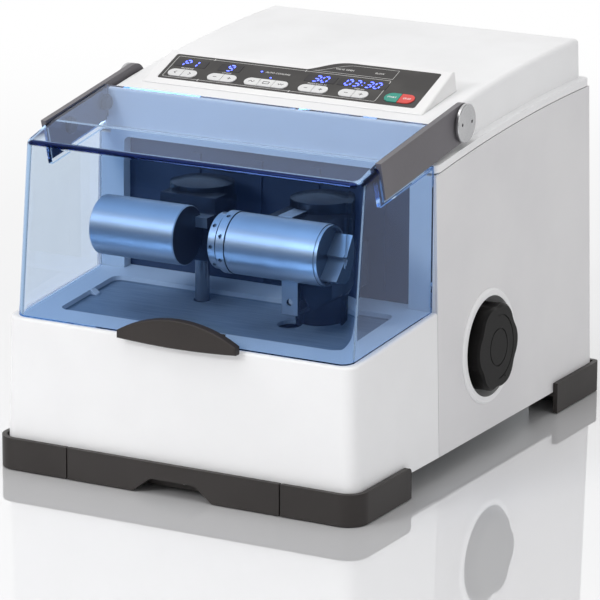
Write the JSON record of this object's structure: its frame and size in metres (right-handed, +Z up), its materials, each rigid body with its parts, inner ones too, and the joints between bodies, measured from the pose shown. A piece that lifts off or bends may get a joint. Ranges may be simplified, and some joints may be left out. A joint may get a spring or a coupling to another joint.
{
  "type": "mixer mill",
  "caption": "Bench mixer mill with a tilting clear hood over a rocking jar and its counterweight, a sloping key panel, a side knob and a low drawer.",
  "frame": {"origin": "bench level, on the middle plane, halfway between the front skirt and the end of the rear connector", "axes": "+X to the operator's right, +Y away from the operator, +Z up"},
  "size_m": [0.4006, 0.5782, 0.373],
  "materials": {
    "housing_white": "fine satin coat, warm white",
    "moulding_white": "fine satin moulding, warm white",
    "skirt_charcoal": "fine grained, charcoal",
    "hood_blue": "clear blue moulding, polished",
    "arm_grey": "satin, dark grey",
    "handle_dark": "fine grained, dark brown grey",
    "steel_satin": "satin turned",
    "steel_dark": "dark coated",
    "bulkhead_dark": "satin, blue black",
    "overlay_dark": "fine satin film",
    "display_dark": "clear dark window",
    "key_white": "satin",
    "key_green": "satin",
    "key_red": "satin",
    "board_green": "resist coated",
    "knob_black": "fine grained, black",
    "rubber_black": "plain",
    "plate_zinc": "zinc finish",
    "cast_aluminium": "as cast",
    "machine_steel": "ground",
    "motor_grey": "painted",
    "brass_fitting": "turned"
  },
  "bodies": {
    "housing": {"base_plate": "plate_zinc", "foot_pads": "rubber_black", "skirt_corners": "skirt_charcoal", "rear_feet": "skirt_charcoal", "front_shell": "moulding_white", "chamber_surround": "moulding_white", "chamber_bulkhead": "bulkhead_dark", "side_panel_left": "housing_white", "side_panel_right": "housing_white", "rear_panel": "housing_white", "top_cover": "moulding_white", "control_console": "moulding_white", "control_overlay": "overlay_dark", "display_windows": "display_dark", "control_board": "board_green", "knob_bezel": "moulding_white", "bearing_frame": "cast_aluminium", "shaft_bearings": "machine_steel", "guide_rods": "machine_steel", "drive_motor": "motor_grey", "drive_belt": "rubber_black", "cooling_fan": "knob_black", "mains_inlet": "knob_black", "nitrogen_inlet": "brass_fitting", "exhaust_outlet": "machine_steel", "pivot_pins": "steel_satin"},
    "hood_body": {"hood_window": "hood_blue", "hood_arms": "arm_grey", "hood_screws": "steel_dark", "hood_handle": "handle_dark"},
    "jar_rocker": {"jar_rocker_shaft": "machine_steel", "jar_column": "steel_dark", "jar_cradle": "steel_satin", "cooling_sleeve": "steel_satin", "grinding_jar": "steel_satin"},
    "screw_cap": {"jar_screw_cap": "steel_satin"},
    "ball": {"grinding_ball": "machine_steel"},
    "counter_rocker": {"counter_rocker_shaft": "machine_steel", "counter_column": "steel_dark", "counterweight": "steel_satin"},
    "yoke": {"drive_yoke": "cast_aluminium"},
    "crank": {"crank_shaft": "machine_steel"},
    "motor_rotor": {"motor_pulley": "machine_steel"},
    "drawer": {"accessory_drawer": "skirt_charcoal"},
    "knob": {"side_knob": "knob_black"},
    "fan_wheel": {"fan_rotor": "knob_black"},
    "switch_rocker": {"power_switch": "knob_black"},
    "button_program_down": {"key_program_down": "key_white"},
    "button_program_up": {"key_program_up": "key_white"},
    "button_cycles_down": {"key_cycles_down": "key_white"},
    "button_cycles_up": {"key_cycles_up": "key_white"},
    "button_cooling_down": {"key_cooling_down": "key_white"},
    "button_cooling_mode": {"key_cooling_mode": "key_white"},
    "button_cooling_up": {"key_cooling_up": "key_white"},
    "button_frequency_down": {"key_frequency_down": "key_white"},
    "button_frequency_up": {"key_frequency_up": "key_white"},
    "button_time_down": {"key_time_down": "key_white"},
    "button_time_up": {"key_time_up": "key_white"},
    "button_start": {"key_start": "key_green"},
    "button_stop": {"key_stop": "key_red"}
  },
  "joints": [
    {"name": "hood_tilt", "type": "hinge", "parent": "housing", "child": "hood_body", "pos_m": [0, -0.0545, 0.3357], "axis": [-1, 0, 0], "range_deg": [0, 80]},
    {"name": "jar_swing", "type": "hinge", "parent": "housing", "child": "jar_rocker", "pos_m": [0.085, -0.149, 0.238], "axis": [0, 0, 1], "range_deg": [-6, 6]},
    {"name": "cap_turn", "type": "hinge", "parent": "jar_rocker", "child": "screw_cap", "pos_m": [0.018, -0.218, 0.2363], "axis": [-1, 0, 0], "range_deg": [0, 90]},
    {"name": "ball_roll", "type": "slide", "parent": "jar_rocker", "child": "ball", "axis": [1, 0, 0], "range_m": [-0.038, 0.017]},
    {"name": "counter_swing", "type": "hinge", "parent": "housing", "child": "counter_rocker", "pos_m": [-0.046, -0.149, 0.238], "axis": [0, 0, 1], "range_deg": [-6, 6]},
    {"name": "yoke_slide", "type": "slide", "parent": "housing", "child": "yoke", "axis": [0, 1, 0], "range_m": [-0.007, 0.007]},
    {"name": "crank_turn", "type": "hinge", "parent": "housing", "child": "crank", "pos_m": [0.0104, -0.0945, 0.06], "axis": [0, 0, 1], "range_deg": [-48.5, 48.5]},
    {"name": "motor_turn", "type": "hinge", "parent": "housing", "child": "motor_rotor", "pos_m": [0.0104, 0.0555, 0.06], "axis": [0, 0, 1], "range_deg": [-97, 97]},
    {"name": "drawer_slide", "type": "slide", "parent": "housing", "child": "drawer", "axis": [0, -1, 0], "range_m": [0, 0.12]},
    {"name": "knob_turn", "type": "hinge", "parent": "housing", "child": "knob", "pos_m": [0.19007, -0.0073, 0.106], "axis": [0.9997, 0, 0.026], "continuous": true},
    {"name": "fan_spin", "type": "hinge", "parent": "housing", "child": "fan_wheel", "pos_m": [0.095, 0.215, 0.215], "axis": [0, 1, 0], "continuous": true},
    {"name": "switch_tip", "type": "hinge", "parent": "housing", "child": "switch_rocker", "pos_m": [0.082, 0.22502, 0.075], "axis": [1, 0, 0], "range_deg": [-16, 0]},
    {"name": "press_program_down", "type": "slide", "parent": "housing", "child": "button_program_down", "axis": [0, 0.3584, -0.9336], "range_m": [0, 0.0006], "stiffness_N_per_m": 350, "springref_m": -0.001},
    {"name": "press_program_up", "type": "slide", "parent": "housing", "child": "button_program_up", "axis": [0, 0.3584, -0.9336], "range_m": [0, 0.0006], "stiffness_N_per_m": 350, "springref_m": -0.001},
    {"name": "press_cycles_down", "type": "slide", "parent": "housing", "child": "button_cycles_down", "axis": [0, 0.3584, -0.9336], "range_m": [0, 0.0006], "stiffness_N_per_m": 350, "springref_m": -0.001},
    {"name": "press_cycles_up", "type": "slide", "parent": "housing", "child": "button_cycles_up", "axis": [0, 0.3584, -0.9336], "range_m": [0, 0.0006], "stiffness_N_per_m": 350, "springref_m": -0.001},
    {"name": "press_cooling_down", "type": "slide", "parent": "housing", "child": "button_cooling_down", "axis": [0, 0.3584, -0.9336], "range_m": [0, 0.0006], "stiffness_N_per_m": 350, "springref_m": -0.001},
    {"name": "press_cooling_mode", "type": "slide", "parent": "housing", "child": "button_cooling_mode", "axis": [0, 0.3584, -0.9336], "range_m": [0, 0.0006], "stiffness_N_per_m": 350, "springref_m": -0.001},
    {"name": "press_cooling_up", "type": "slide", "parent": "housing", "child": "button_cooling_up", "axis": [0, 0.3584, -0.9336], "range_m": [0, 0.0006], "stiffness_N_per_m": 350, "springref_m": -0.001},
    {"name": "press_frequency_down", "type": "slide", "parent": "housing", "child": "button_frequency_down", "axis": [0, 0.3584, -0.9336], "range_m": [0, 0.0006], "stiffness_N_per_m": 350, "springref_m": -0.001},
    {"name": "press_frequency_up", "type": "slide", "parent": "housing", "child": "button_frequency_up", "axis": [0, 0.3584, -0.9336], "range_m": [0, 0.0006], "stiffness_N_per_m": 350, "springref_m": -0.001},
    {"name": "press_time_down", "type": "slide", "parent": "housing", "child": "button_time_down", "axis": [0, 0.3584, -0.9336], "range_m": [0, 0.0006], "stiffness_N_per_m": 350, "springref_m": -0.001},
    {"name": "press_time_up", "type": "slide", "parent": "housing", "child": "button_time_up", "axis": [0, 0.3584, -0.9336], "range_m": [0, 0.0006], "stiffness_N_per_m": 350, "springref_m": -0.001},
    {"name": "press_start", "type": "slide", "parent": "housing", "child": "button_start", "axis": [0, 0.3584, -0.9336], "range_m": [0, 0.0006], "stiffness_N_per_m": 350, "springref_m": -0.001},
    {"name": "press_stop", "type": "slide", "parent": "housing", "child": "button_stop", "axis": [0, 0.3584, -0.9336], "range_m": [0, 0.0006], "stiffness_N_per_m": 350, "springref_m": -0.001}
  ],
  "couplings": [
    {"joint": "counter_swing", "follows": "jar_swing", "ratio": -1},
    {"joint": "yoke_slide", "follows": "jar_swing", "m_per_rad": -0.0655},
    {"joint": "crank_turn", "follows": "jar_swing", "ratio": -8},
    {"joint": "motor_turn", "follows": "jar_swing", "ratio": -16}
  ]
}
